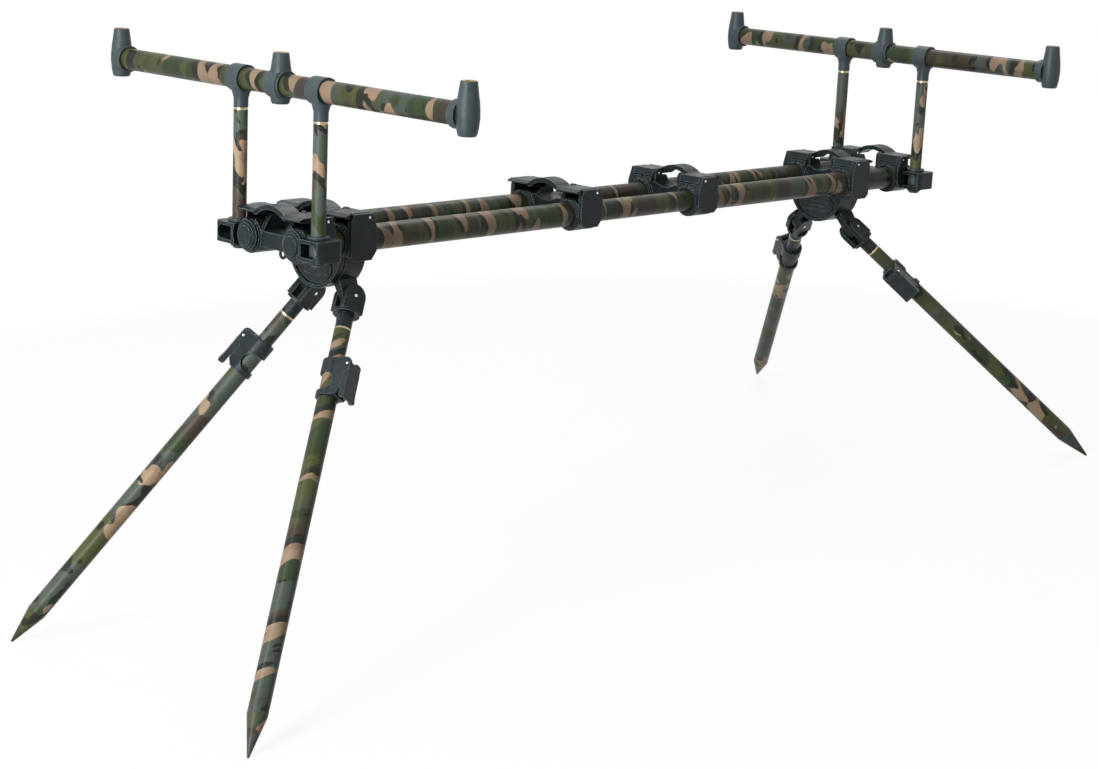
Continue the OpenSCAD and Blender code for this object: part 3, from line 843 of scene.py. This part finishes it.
@dataclass
class Lathe:
    """A profile of distance and radius, carried round an axis."""

    axis: Axis
    profile: np.ndarray
    loop: bool = False
    bare_upto: float = -math.inf
    bare_from: float = math.inf
    turns: int = 72

    def grid(self) -> np.ndarray:
        """Points of the surface: start + distance x axis + radius x (cos x side + sin x upper).

        Returns:
            An array of rows along the profile, columns round the axis, and three coordinates.
        """
        side, upper = self.axis.frame()
        angle = np.arange(self.turns) * (2 * math.pi / self.turns)
        rim = np.cos(angle)[:, None] * side + np.sin(angle)[:, None] * upper
        centres = self.axis.start + self.profile[:, :1] * self.axis.along
        return centres[:, None, :] + self.profile[:, 1][:, None, None] * rim[None, :, :]

    def faces(self) -> tuple[np.ndarray, np.ndarray]:
        """Quads between neighbouring rows, and fans where a row has shrunk to a pole.

        Returns:
            Quads and triangles as rows of point numbers, on the full grid.
        """
        rows = len(self.profile)
        first = np.arange(rows if self.loop else rows - 1)
        below, column = np.meshgrid(first, np.arange(self.turns), indexing="ij")
        above = (below + 1) % rows
        following = (column + 1) % self.turns
        quads = np.stack(
            [
                below * self.turns + column,
                below * self.turns + following,
                above * self.turns + following,
                above * self.turns + column,
            ],
            axis=-1,
        )
        pole = self.profile[:, 1] < POLE
        starts, ends = pole[below], pole[above]
        body = quads[~starts & ~ends]
        opening = quads[starts & ~ends][:, [0, 2, 3]]
        closing = quads[ends & ~starts][:, [0, 1, 2]]
        opening[:, 0] = opening[:, 0] // self.turns * self.turns
        closing[:, 2] = closing[:, 2] // self.turns * self.turns
        return body, np.concatenate([opening, closing])

    def surface(self, paint: PaintMap) -> Surface:
        """Everything that goes into a mesh, without the spare points of the poles.

        The paint coordinates of a point are its distance along the axis and its two offsets
        across it, each times the paint's stretch. The slant shifts them along by the first offset.

        Args:
            paint: How the camouflage lies on the surface.

        Returns:
            The arrays of the surface.
        """
        points = self.grid()
        side, upper = self.axis.frame()
        arms = points - self.axis.start
        flat = np.stack([arms @ self.axis.along, arms @ side, arms @ upper], axis=-1)
        paint_at = flat * np.array([paint.along, paint.across, paint.across])
        paint_at[..., 0] += paint.seed + paint.slant * flat[..., 1]
        reach = self.profile[:, 0]
        bare = np.repeat((reach <= self.bare_upto) | (reach >= self.bare_from), self.turns)
        quads, fans = self.faces()
        joined = np.concatenate([quads.ravel(), fans.ravel()])
        used, corners = np.unique(joined, return_inverse=True)
        return Surface(
            points.reshape(-1, 3)[used],
            corners[: quads.size].reshape(-1, 4),
            corners[quads.size :].reshape(-1, 3),
            paint_at.reshape(-1, 3)[used],
            bare[used].astype(float),
            np.full(len(used), paint.grey_and_light),
        )


def straight_profile(start: float, end: float, radius: float, rows: int) -> np.ndarray:
    """Even rows of one radius between two distances.

    Args:
        start: First distance.
        end: Last distance.
        radius: Radius of every row.
        rows: Number of rows.

    Returns:
        Rows of distance and radius.
    """
    return np.stack([np.linspace(start, end, rows), np.full(rows, radius)], axis=1)


def dome_profile(
    base: float, rise: float, radius: float, rows: int, first: float = 0.0
) -> np.ndarray:
    """Part of an ellipse that ends on the axis: base + rise x sin, and radius x cos.

    Args:
        base: Distance at which the angle would be 0.
        rise: Height of the dome along the axis.
        radius: Radius of the dome at its base.
        rows: Number of rows.
        first: Angle of the first row. The last one is a right angle.

    Returns:
        Rows of distance and radius.
    """
    bend = np.linspace(first, math.pi / 2, rows)
    profile = np.stack([base + rise * np.sin(bend), radius * np.cos(bend)], axis=1)
    profile[-1, 1] = 0.0
    return profile


def tube_profile(length: float, radius: float, wall: float, lip: float) -> np.ndarray:
    """Closed wall of a tube with rounded lips, out along the outside and back along the bore.

    Each lip is a quarter of a circle.

    Args:
        length: Length of the tube.
        radius: Outside radius.
        wall: Wall thickness.
        lip: Size of the rounding at both ends.

    Returns:
        Rows of distance and radius.
    """
    bend = np.linspace(0.0, math.pi / 2, LIP_ROWS)
    near = np.stack([lip * (1 - np.sin(bend)), radius - lip * (1 - np.cos(bend))], axis=1)[::-1]
    outer = straight_profile(2 * lip, length - 2 * lip, radius, TUBE_ROWS)
    far = np.stack([length - near[::-1, 0], near[::-1, 1]], axis=1)
    bore = np.array([[length, radius - wall], [0.0, radius - wall]])
    return np.concatenate([near, outer, far, bore])


def placed(name: str, data: bpy.types.ID) -> bpy.types.Object:
    """Puts a mesh, lamp or camera into the scene.

    Args:
        name: The object's name.
        data: What the object shows.

    Returns:
        The new object, at the origin.
    """
    piece = bpy.data.objects.new(name, data)
    bpy.context.scene.collection.objects.link(piece)
    return piece


class Maker:
    """Puts pieces into the scene and dresses them."""

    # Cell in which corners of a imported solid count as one, and turns that stay sharp creases.
    grid = 0.002 * MM
    crease = math.radians(33)
    lathe_crease = math.radians(38)
    normal_weight = 50
    attributes = (
        ("paint", "FLOAT_VECTOR", "vector"),
        ("bare", "FLOAT", "value"),
        ("grey_and_light", "FLOAT", "value"),
    )

    def __init__(self, finishes: Finishes) -> None:
        """Keeps the finishes and counts the pieces."""
        self.finishes = finishes
        self.made = 0

    def settle(
        self,
        piece: bpy.types.Object,
        body: str,
        material: bpy.types.Material,
        nodes: Sequence[str] = (),
    ) -> None:
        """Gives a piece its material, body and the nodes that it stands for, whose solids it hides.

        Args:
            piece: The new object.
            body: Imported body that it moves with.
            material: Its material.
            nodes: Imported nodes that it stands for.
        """
        piece.data.materials.clear()
        piece.data.materials.append(material)
        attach(piece, body)
        if nodes:
            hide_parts(*nodes)
        self.made += 1
        LOG.info("piece %s rides on %s, %d faces", piece.name, body, len(piece.data.polygons))

    def lathes(self, name: str, parts: Sequence[tuple[Lathe, PaintMap]]) -> bpy.types.Object:
        """Makes one object from one or more lathe surfaces.

        Args:
            name: The object's name.
            parts: Surfaces and the way that the paint lies on each.

        Returns:
            The new object.
        """
        made = [lathe.surface(lie) for lathe, lie in parts]
        bases = np.cumsum([0] + [len(surface.points) for surface in made])
        faces: list[list[int]] = []
        for base, surface in zip(bases, made):
            faces += (surface.quads + base).tolist() + (surface.fans + base).tolist()
        mesh = bpy.data.meshes.new(name)
        mesh.from_pydata(np.concatenate([surface.points for surface in made]).tolist(), [], faces)
        for label, kind, field in self.attributes:
            values = np.concatenate([getattr(surface, label) for surface in made])
            attribute = mesh.attributes.new(label, kind, "POINT")
            attribute.data.foreach_set(field, values.astype(np.float32).ravel())
        mesh.shade_smooth()
        mesh.set_sharp_from_angle(angle=self.lathe_crease)
        return placed(name, mesh)

    def copied(self, node: str) -> bpy.types.Object:
        """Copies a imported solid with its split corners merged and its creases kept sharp.

        Points in the same cell of a fine grid become one, every edge that turns by more than the
        limit is a crease, and the normals are weighted by face area so that flat faces stay flat.

        Args:
            node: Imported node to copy.

        Returns:
            The new object.
        """
        source = frame["nodes"][node].data
        points = node_points(node)
        source.calc_loop_triangles()
        corners = np.empty(len(source.loop_triangles) * 3, np.int32)
        source.loop_triangles.foreach_get("vertices", corners)
        cells = np.round(points / self.grid).astype(np.int64)
        _, first, same = np.unique(cells, axis=0, return_index=True, return_inverse=True)
        faces = same.reshape(-1)[corners].reshape(-1, 3)
        whole = (faces != np.roll(faces, 1, axis=1)).all(1)
        mesh = bpy.data.meshes.new(node + "_dressed")
        mesh.from_pydata(points[first].tolist(), [], faces[whole].tolist())
        mesh.shade_smooth()
        mesh.set_sharp_from_angle(angle=self.crease)
        piece = placed(mesh.name, mesh)
        normals = piece.modifiers.new("flat_normals", "WEIGHTED_NORMAL")
        normals.mode = "FACE_AREA_WITH_ANGLE"
        normals.weight = self.normal_weight
        normals.keep_sharp = True
        return piece

    def moulding(self, node: str, body: str, material: bpy.types.Material) -> None:
        """Makes the dressed copy of one moulded node."""
        self.settle(self.copied(node), body, material, [node])

    def metal(self, node: str, body: str, slot: Slot) -> None:
        """Makes the dressed copy of one metal node."""
        material = self.finishes.steel if slot is Slot.PIN else self.finishes.brass
        self.settle(self.copied(node), body, material, [node])


@dataclass
class MainFrame:
    """The two telescopic tube lines with their end caps."""

    wall: float = 1.2 * MM
    lip: float = 0.25 * MM
    inner_seeds: tuple[float, float] = (31.0, 37.0)

    def tube(self, maker: Maker, node: str, body: str, seed: float) -> None:
        """Builds and paints one outer main tube.

        Args:
            maker: Puts the piece into the scene.
            node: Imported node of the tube.
            body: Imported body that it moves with.
            seed: Start of the camouflage along the tube.
        """
        axis = measured_axis(node_points(node), (1, 0, 0))
        profile = tube_profile(axis.length, axis.radius, self.wall, self.lip)
        lie = PaintMap(along=1.0, across=0.3, seed=seed, grey_and_light=-0.05, slant=0.12)
        piece = maker.lathes(node + "_painted", [(Lathe(axis, profile, loop=True), lie)])
        maker.settle(piece, body, maker.finishes.paint, [node])

    def inner(self, maker: Maker) -> None:
        """Builds and paints the pair of inner tubes as one piece.

        Args:
            maker: Puts the piece into the scene.
        """
        points = node_points("inner_tubes")
        parts = []
        for seed, near in zip(self.inner_seeds, (True, False)):
            axis = measured_axis(points[(points[:, 1] < 0) == near], (1, 0, 0))
            profile = tube_profile(axis.length, axis.radius, self.wall, self.lip)
            parts.append((Lathe(axis, profile, loop=True), PaintMap(across=0.3, seed=seed)))
        piece = maker.lathes("inner_tubes_painted", parts)
        maker.settle(piece, "inner_frame", maker.finishes.paint, ["inner_tubes"])

    def build(self, maker: Maker) -> None:
        """Builds and dresses every piece of the frame.

        Args:
            maker: Puts the pieces into the scene.
        """
        seeds = {
            (End.FRONT, Side.LEFT): 216.1,
            (End.FRONT, Side.RIGHT): 200.0,
            (End.REAR, Side.LEFT): 209.2,
            (End.REAR, Side.RIGHT): 218.4,
        }
        for (end, side), seed in seeds.items():
            self.tube(maker, f"{end.value}_{side.value}_tube", f"{end.value}_frame", seed)
        for end in End:
            caps = f"{end.value}_tube_caps"
            maker.moulding(caps, f"{end.value}_frame", maker.finishes.black)
        self.inner(maker)
        maker.moulding("inner_plugs", "inner_frame", maker.finishes.black)


@dataclass
class ClampSet:
    """The three twin cam clamps of one end with their levers, pins and leg block."""

    end: End

    def build(self, maker: Maker) -> None:
        """Builds and dresses every piece of the set.

        Args:
            maker: Puts the pieces into the scene.
        """
        body, black = f"{self.end.value}_frame", maker.finishes.black
        for kind in ("rest_clamp", "leg_clamp", "frame_clamp"):
            clamp = f"{self.end.value}_{kind}"
            maker.moulding(clamp, body, black)
            maker.moulding(clamp + "_lever", clamp + "_lever", black)
        maker.moulding(f"{self.end.value}_leg_block", body, black)
        maker.metal(f"{self.end.value}_pins", body, Slot.PIN)


@dataclass
class Leg:
    """One folding telescopic leg."""

    end: End
    side: Side
    paint: PaintMap
    wall: float = 1.2 * MM
    lip: float = 0.3 * MM
    bare_ring: float = 1.8 * MM
    upper_shift: float = 2.0
    spike_shift: float = 0.377
    shoulder: float = 0.25 * MM
    cone_rows: int = 11
    tip: float = 1.2 * MM
    tip_slope: float = math.radians(14)
    tip_rows: int = 7
    pin_dome: float = 0.4 * MM
    pin_limit: float = 1.5 * MM
    pin_skin: float = 0.03 * MM
    pin_rows: int = 5
    pin_turns: int = 24

    @property
    def name(self) -> str:
        """Start of the names of this leg's nodes."""
        return f"{self.end.value}_{self.side.value}_leg"

    def lie(self, shift: float) -> PaintMap:
        """How the camouflage lies on one tube of this leg."""
        return replace(self.paint, seed=self.paint.seed + shift)

    def tube(self, maker: Maker, part: str, body: str, bare: float, shift: float) -> Axis:
        """Builds and paints one tube of the leg.

        Args:
            maker: Puts the piece into the scene.
            part: Last words of the node's name.
            body: Last word of the body's name.
            bare: Height of bare metal at the tube's top.
            shift: Shift of the camouflage along the tube.

        Returns:
            The tube's axis.
        """
        node = f"{self.name}_{part}"
        axis = measured_axis(node_points(node), (0, 0, -1))
        profile = tube_profile(axis.length, axis.radius, self.wall, self.lip)
        if bare > 0:
            rings = np.array([[bare, axis.radius], [bare + SEAM, axis.radius]])
            row = int(np.searchsorted(profile[: len(profile) // 2, 0], bare))
            profile = np.insert(profile, row, rings, axis=0)
        lathe = Lathe(axis, profile, loop=True, bare_upto=bare)
        piece = maker.lathes(node + "_painted", [(lathe, self.lie(shift))])
        maker.settle(piece, f"{self.name}_{body}", maker.finishes.paint, [node])
        return axis

    def spike(self, maker: Maker, tube: Axis) -> None:
        """Builds the spike as a cone that ends in a small round tip, on the tube's axis.

        The profile runs out over the plug inside the tube, round a small shoulder, straight along
        the cone and over the tip.

        Args:
            maker: Puts the piece into the scene.
            tube: Axis of the lower tube.
        """
        node = f"{self.name}_spike"
        reach = (node_points(node) - tube.start) @ tube.along
        start = tube.start + tube.along * reach.min()
        axis = Axis(start, tube.along, float(np.ptp(reach)), tube.radius)
        plug_end = tube.length - float(reach.min())
        plug_radius = tube.radius - self.wall
        tip_base = axis.length - self.tip
        tip = dome_profile(tip_base, self.tip, self.tip, self.tip_rows, self.tip_slope)
        share = np.linspace(0.0, 1.0, self.cone_rows, endpoint=False)[:, None]
        shoulder = np.array([plug_end + self.shoulder, tube.radius])
        cone = shoulder + share * (tip[0] - shoulder)
        lead = np.array([
            [0.0, 0.0],
            [0.0, plug_radius],
            [plug_end, plug_radius],
            [plug_end, tube.radius - self.shoulder],
        ])
        profile = np.concatenate([lead, cone, tip])
        lie = self.lie(self.spike_shift)
        piece = maker.lathes(node + "_painted", [(Lathe(axis, profile), lie)])
        maker.settle(piece, f"{self.name}_lower", maker.finishes.paint, [node])

    def pin(self, maker: Maker) -> None:
        """Builds the lever's steel pin with a low dome on each end, on the lever's hinge axis.

        The pin is as long and as thick as the part of the lever close to that axis.

        Args:
            maker: Puts the piece into the scene.
        """
        node = f"{self.name}_lever"
        hinge = next(joint for joint in frame["joints"] if joint["name"] == node + "_hinge")
        along = np.array(hinge["axis"], float)
        arms = node_points(node) - np.array(hinge["pos_m"], float)
        reach = arms @ along
        off = np.linalg.norm(arms - np.outer(reach, along), axis=1)
        own = off < self.pin_limit
        radius, low, high = off[own].max() + self.pin_skin, reach[own].min(), reach[own].max()
        axis = Axis(np.array(hinge["pos_m"]) + along * low, along, float(high - low), float(radius))
        far = dome_profile(axis.length, self.pin_dome, axis.radius, self.pin_rows)
        near = np.stack([axis.length - far[::-1, 0], far[::-1, 1]], axis=1)
        lathe = Lathe(axis, np.concatenate([near, far]), turns=self.pin_turns)
        piece = maker.lathes(node + "_pin", [(lathe, PaintMap())])
        maker.settle(piece, node, maker.finishes.steel)

    def build(self, maker: Maker) -> None:
        """Builds and dresses every piece of the leg.

        Args:
            maker: Puts the pieces into the scene.
        """
        charcoal = maker.finishes.charcoal
        maker.moulding(f"{self.name}_knuckle", f"{self.name}_upper", maker.finishes.black)
        self.tube(maker, "upper_tube", "upper", self.bare_ring, self.upper_shift)
        maker.moulding(f"{self.name}_collar", f"{self.name}_lower", charcoal)
        maker.moulding(f"{self.name}_lever", f"{self.name}_lever", charcoal)
        self.pin(maker)
        lower = self.tube(maker, "lower_tube", "lower", bare=0.0, shift=0.0)
        self.spike(maker, lower)


@dataclass
class RestBar:
    """One rest bar on its two uprights."""

    end: End
    seed: float
    near_seed: float
    far_seed: float
    wall: float = 1.2 * MM
    lip: float = 0.25 * MM
    bare_ring: float = 2.2 * MM
    bare_step: float = 0.3 * MM
    step_edge: float = 0.05 * MM
    upright_rows: int = 16

    def bar(self, maker: Maker, body: str) -> None:
        """Builds and paints the bar tube.

        Args:
            maker: Puts the piece into the scene.
            body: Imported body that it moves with.
        """
        node = f"{self.end.value}_bar"
        axis = measured_axis(node_points(node), (0, -1, 0))
        profile = tube_profile(axis.length, axis.radius, self.wall, self.lip)
        lie = PaintMap(along=0.75, across=0.35, seed=self.seed)
        piece = maker.lathes(node + "_painted", [(Lathe(axis, profile, loop=True), lie)])
        maker.settle(piece, body, maker.finishes.paint, [node])

    def uprights(self, maker: Maker, body: str) -> None:
        """Builds and paints both uprights, with a bare step under each tee.

        Args:
            maker: Puts the piece into the scene.
            body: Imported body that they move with.
        """
        node = f"{self.end.value}_bar_uprights"
        points = node_points(node)
        parts = []
        for seed, near in ((self.near_seed, True), (self.far_seed, False)):
            axis = measured_axis(points[(points[:, 1] < 0) == near], (0, 0, 1))
            step = axis.length - self.bare_ring
            thin = axis.radius - self.bare_step
            foot = np.array([[0.0, 0.0]])
            shaft = straight_profile(0.0, step, axis.radius, self.upright_rows)
            head = np.array([
                [step + SEAM, axis.radius - self.step_edge],
                [step + 2 * SEAM, thin],
                [axis.length, thin],
                [axis.length, 0.0],
            ])
            profile = np.concatenate([foot, shaft, head])
            lathe = Lathe(axis, profile, bare_from=step + SEAM / 2)
            lie = PaintMap(along=0.6, across=0.9, seed=seed, grey_and_light=0.16, slant=0.6)
            parts.append((lathe, lie))
        piece = maker.lathes(node + "_painted", parts)
        maker.settle(piece, body, maker.finishes.paint, [node])

    def build(self, maker: Maker) -> None:
        """Builds and dresses every piece of the bar.

        Args:
            maker: Puts the pieces into the scene.
        """
        name, body = f"{self.end.value}_bar", f"{self.end.value}_bar_set"
        self.bar(maker, body)
        self.uprights(maker, body)
        for part in ("posts", "tees", "feet"):
            maker.moulding(f"{name}_{part}", body, maker.finishes.slate)
        maker.metal(f"{name}_inserts", body, Slot.INSERT)


@dataclass(frozen=True)
class Softbox:
    """One lamp of the studio: its name, place, width and height, and power in watts."""

    name: str
    place: tuple[float, float, float]
    size: tuple[float, float]
    power: float


@dataclass
class Studio:
    """White studio: floor, soft light and the camera at the photograph's angle."""

    azimuth: float = -44.9053
    elevation: float = 16.4703
    roll: float = -0.5747
    place: tuple[float, float, float] = (-1.615398, -1.574751, 0.828331)
    target: tuple[float, float, float] = (0.05, 0.0, 0.3)
    lens: float = 74.6776
    sensor: float = 36.0
    sky_tint: Colour = (0.96, 0.98, 1.0, 1.0)
    sky_level: float = 0.125
    floor_reach: float = 14.0
    floor_paper: Colour = (0.9, 0.9, 0.9, 1.0)
    floor_bounce: Colour = (0.34, 0.34, 0.34, 1.0)
    floor_share: float = 0.9
    shade_reach: float = 0.6
    white_reach: float = 1.2
    lamps: tuple[Softbox, ...] = (
        Softbox("key_softbox", (-2.7, 0.1, 2.2), (1.1, 1.1), 58.0),
        Softbox("strip_softbox", (-2.4, -0.5, 0.66), (0.5, 1.3), 36.0),
        Softbox("top_softbox", (0.2, 0.2, 3.0), (2.0, 2.0), 24.0),
        Softbox("fill_softbox", (0.8, -3.0, 1.4), (1.6, 1.6), 4.0),
        Softbox("back_softbox", (2.4, 1.6, 3.6), (1.6, 1.6), 43.0),
    )

    def camera(self) -> None:
        """Sets the camera at its place, turned by azimuth, elevation and roll."""
        turn, rise = math.radians(self.azimuth), math.radians(self.elevation)
        level_back = Vector((math.sin(turn), -math.cos(turn), 0.0))
        back = level_back * math.cos(rise) + Vector((0.0, 0.0, math.sin(rise)))
        data = bpy.data.cameras.new("photo_camera")
        data.lens, data.sensor_width = self.lens, self.sensor
        camera = placed("photo_camera", data)
        camera.location = self.place
        camera.rotation_mode = "QUATERNION"
        level = (-back).to_track_quat("-Z", "Y")
        camera.rotation_quaternion = level @ Quaternion((0, 0, 1), math.radians(self.roll))
        bpy.context.scene.camera = camera

    def hang(self, softbox: Softbox) -> None:
        """Hangs one lamp so that it points at the pod.

        Args:
            softbox: The lamp.
        """
        data = bpy.data.lights.new(softbox.name, "AREA")
        data.shape = "RECTANGLE"
        data.size, data.size_y = softbox.size
        data.energy = softbox.power
        lamp = placed(softbox.name, data)
        lamp.location = softbox.place
        aim = Vector(self.target) - Vector(softbox.place)
        lamp.rotation_mode = "QUATERNION"
        lamp.rotation_quaternion = aim.to_track_quat("-Z", "Y")

    @staticmethod
    def seen(graph: Graph) -> bpy.types.NodeSocket:
        """1 for rays that show the background: from the camera, a reflection or through glass.

        Args:
            graph: Graph of the floor's material or of the world.

        Returns:
            The share's socket.
        """
        rays = graph.add("ShaderNodeLightPath").outputs
        mirrored = graph.math("MAXIMUM", rays["Is Glossy Ray"], rays["Is Transmission Ray"])
        return graph.math("MAXIMUM", rays["Is Camera Ray"], mirrored)

    def world(self) -> None:
        """White background for the camera and for reflections, softer light for everything else."""
        world = bpy.data.worlds.new("studio_world")
        world.use_nodes = True
        bpy.context.scene.world = world
        graph = Graph(world.node_tree)
        world.node_tree.nodes.clear()
        light = graph.add("ShaderNodeBackground")
        light.inputs["Color"].default_value = self.sky_tint
        light.inputs["Strength"].default_value = self.sky_level
        white = graph.add("ShaderNodeBackground")
        white.inputs["Color"].default_value = (1.0, 1.0, 1.0, 1.0)
        white.inputs["Strength"].default_value = 1.0
        shown = graph.blend(self.seen(graph), light, white)
        out = graph.add("ShaderNodeOutputWorld")
        graph.feed(out.inputs["Surface"], shown.outputs[0])

    def floor_material(self) -> bpy.types.Material:
        """Paper that glows white to the camera far from the pod and keeps a soft shadow near it.

        Returns:
            The material.
        """
        material = bpy.data.materials.new("studio_white")
        material.use_nodes = True
        graph = Graph(material.node_tree)
        material.node_tree.nodes.clear()
        paper = graph.add("ShaderNodeBsdfDiffuse")
        paper.inputs["Color"].default_value = self.floor_paper
        glow = graph.add("ShaderNodeEmission")
        glow.inputs["Strength"].default_value = 1.0
        bounce = graph.add("ShaderNodeBsdfDiffuse")
        bounce.inputs["Color"].default_value = self.floor_bounce
        place = graph.add("ShaderNodeTexCoord").outputs["Object"]
        away = graph.vector("LENGTH", place, (0.0, 0.0, 0.0)).outputs["Value"]
        clear = graph.ramp(away, self.shade_reach, self.white_reach)
        shown = graph.blend(graph.math("MAXIMUM", clear, self.floor_share), paper, glow)
        lit = graph.blend(self.seen(graph), bounce, shown)
        out = graph.add("ShaderNodeOutputMaterial")
        graph.feed(out.inputs["Surface"], lit.outputs[0])
        return material

    def floor(self) -> None:
        """Lays a wide pale floor under the pod."""
        half = self.floor_reach / 2
        mesh = bpy.data.meshes.new("studio_floor")
        corners = [(-half, -half, 0.0), (half, -half, 0.0), (half, half, 0.0), (-half, half, 0.0)]
        mesh.from_pydata(corners, [], [(0, 1, 2, 3)])
        floor = placed("studio_floor", mesh)
        mesh.materials.append(self.floor_material())

    def build(self) -> None:
        """Sets up floor, light, camera and view."""
        self.camera()
        self.world()
        self.floor()
        for softbox in self.lamps:
            self.hang(softbox)
        bpy.context.scene.view_settings.view_transform = "Standard"


LEGS = (
    Leg(End.FRONT, Side.LEFT, PaintMap(0.85, 0.3, seed=106.9, grey_and_light=0.04, slant=0.45)),
    Leg(End.FRONT, Side.RIGHT, PaintMap(0.5, 0.6, seed=206.9, grey_and_light=0.08)),
    Leg(End.REAR, Side.LEFT, PaintMap(0.5, 0.6, seed=216.1, grey_and_light=0.03, slant=0.5)),
    Leg(End.REAR, Side.RIGHT, PaintMap(0.7, 0.5, seed=209.2, grey_and_light=0.1, slant=0.3)),
)
BARS = (
    RestBar(End.FRONT, seed=216.1, near_seed=218.2, far_seed=217.6),
    RestBar(End.REAR, seed=206.9, near_seed=227.4, far_seed=222.2),
)


def main() -> None:
    """Builds the studio and every sub-assembly."""
    logging.basicConfig(level=logging.INFO, format="%(name)s: %(message)s")
    Studio().build()
    maker = Maker(Finishes())
    MainFrame().build(maker)
    for end in End:
        ClampSet(end).build(maker)
    for leg in LEGS:
        leg.build(maker)
    for bar in BARS:
        bar.build(maker)
    LOG.info("%d pieces in all", maker.made)


if __name__ == "__main__":
    main()
